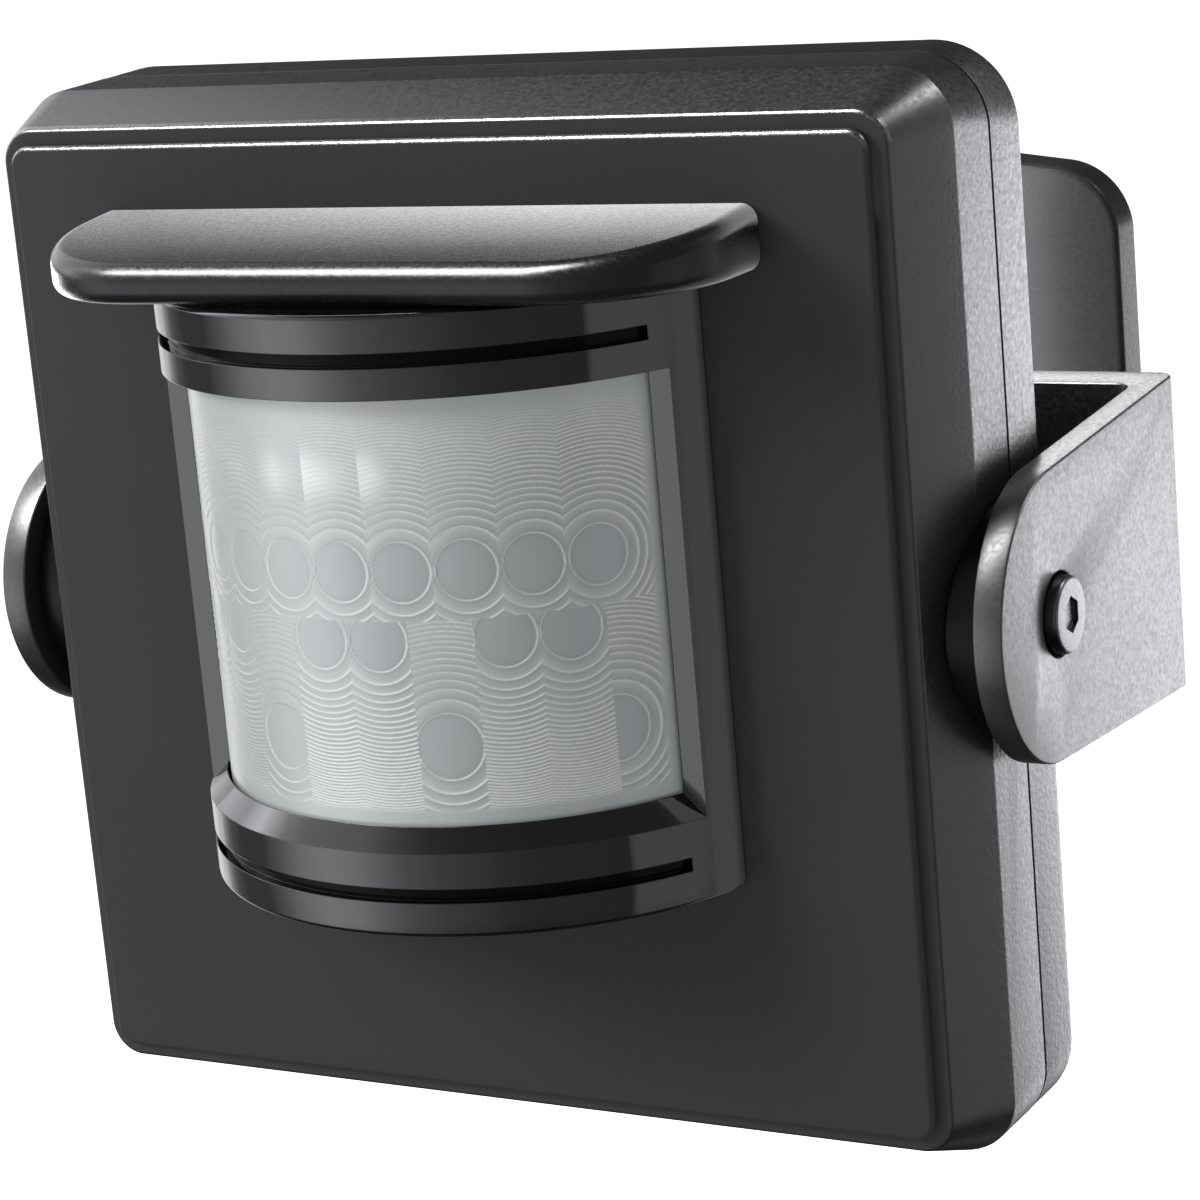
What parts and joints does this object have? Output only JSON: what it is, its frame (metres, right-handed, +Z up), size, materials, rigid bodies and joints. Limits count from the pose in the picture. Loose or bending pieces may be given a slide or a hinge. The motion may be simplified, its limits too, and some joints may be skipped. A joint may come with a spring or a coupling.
{
  "type": "motion sensor",
  "caption": "Outdoor passive-infrared motion sensor: square dark case with a curved segmented lens under a rain hood, tilting in a wall yoke.",
  "frame": {"origin": "on the wall contact plane, at the middle of the width and at the height of the tilt axis", "axes": "+Z up, -Y the way the sensor looks (away from the wall), +X to the right as seen from in front"},
  "size_m": [0.1098, 0.0722, 0.101],
  "materials": {
    "front_plastic": "matt, fine grain",
    "bezel_plastic": "satin, fine spark texture",
    "rear_plastic": "satin, fine spark texture",
    "yoke_plastic": "satin, fine spark texture",
    "wall_plastic": "satin",
    "frame_gloss": "polished",
    "hood_satin": "satin, grainy",
    "lens": "translucent, milky",
    "black_plastic": "matt",
    "hub_plastic": "half gloss",
    "seal_rubber": "matt",
    "zinc_steel": "plated",
    "board": "solder mask",
    "can": "nickel plated",
    "relay_blue": "smooth",
    "film_yellow": "smooth",
    "sleeve": "shrink sleeve",
    "varistor_blue": "dipped",
    "terminal_green": "moulded",
    "trimmer_black": "moulded",
    "knob_grey": "moulded",
    "clamp_grey": "moulded"
  },
  "bodies": {
    "wall_mount": {"wall_plate": "wall_plastic", "swivel_bracket": "yoke_plastic", "bracket_screw_left": "zinc_steel", "bracket_screw_right": "zinc_steel"},
    "sensor_head": {"board_screw_1": "zinc_steel", "board_screw_2": "zinc_steel", "board_screw_3": "zinc_steel", "board_screw_4": "zinc_steel", "cable_clamp": "clamp_grey", "cable_grommet": "seal_rubber", "case_gasket_lower": "seal_rubber", "case_gasket_upper": "seal_rubber", "case_screw_1": "zinc_steel", "case_screw_2": "zinc_steel", "case_screw_3": "zinc_steel", "case_screw_4": "zinc_steel", "circuit_board": "board", "clamp_screw_1": "zinc_steel", "clamp_screw_2": "zinc_steel", "electrolytic_capacitor": "sleeve", "film_capacitor": "film_yellow", "frame_screw_1": "zinc_steel", "frame_screw_2": "zinc_steel", "frame_screw_3": "zinc_steel", "frame_screw_4": "zinc_steel", "fresnel_lens": "lens", "front_plate": "front_plastic", "front_shell": "bezel_plastic", "hood_screw_left": "zinc_steel", "hood_screw_right": "zinc_steel", "lens_frame": "frame_gloss", "lens_retainer": "black_plastic", "pir_element": "can", "pivot_hub_left": "hub_plastic", "pivot_hub_right": "hub_plastic", "pivot_nut_left": "zinc_steel", "pivot_nut_right": "zinc_steel", "pivot_screw_left": "zinc_steel", "pivot_screw_right": "zinc_steel", "rain_hood": "hood_satin", "rear_shell": "rear_plastic", "relay": "relay_blue", "terminal_block": "terminal_green", "trimmer_1": "trimmer_black", "trimmer_2": "trimmer_black", "trimmer_3": "trimmer_black", "varistor": "varistor_blue"},
    "knob_sensitivity": {"knob_sensitivity": "knob_grey"},
    "knob_duration": {"knob_duration": "knob_grey"},
    "knob_twilight": {"knob_twilight": "knob_grey"}
  },
  "joints": [
    {"name": "head_tilt", "type": "hinge", "parent": "wall_mount", "child": "sensor_head", "pos_m": [0, -0.037, 0], "axis": [1, 0, 0], "range_deg": [-30, 35]},
    {"name": "knob_sensitivity_turn", "type": "hinge", "parent": "sensor_head", "child": "knob_sensitivity", "pos_m": [-0.016, -0.0302, -0.03], "axis": [0, 1, 0], "range_deg": [-135, 135]},
    {"name": "knob_duration_turn", "type": "hinge", "parent": "sensor_head", "child": "knob_duration", "pos_m": [0, -0.0302, -0.03], "axis": [0, 1, 0], "range_deg": [-135, 135]},
    {"name": "knob_twilight_turn", "type": "hinge", "parent": "sensor_head", "child": "knob_twilight", "pos_m": [0.016, -0.0302, -0.03], "axis": [0, 1, 0], "range_deg": [-135, 135]}
  ]
}
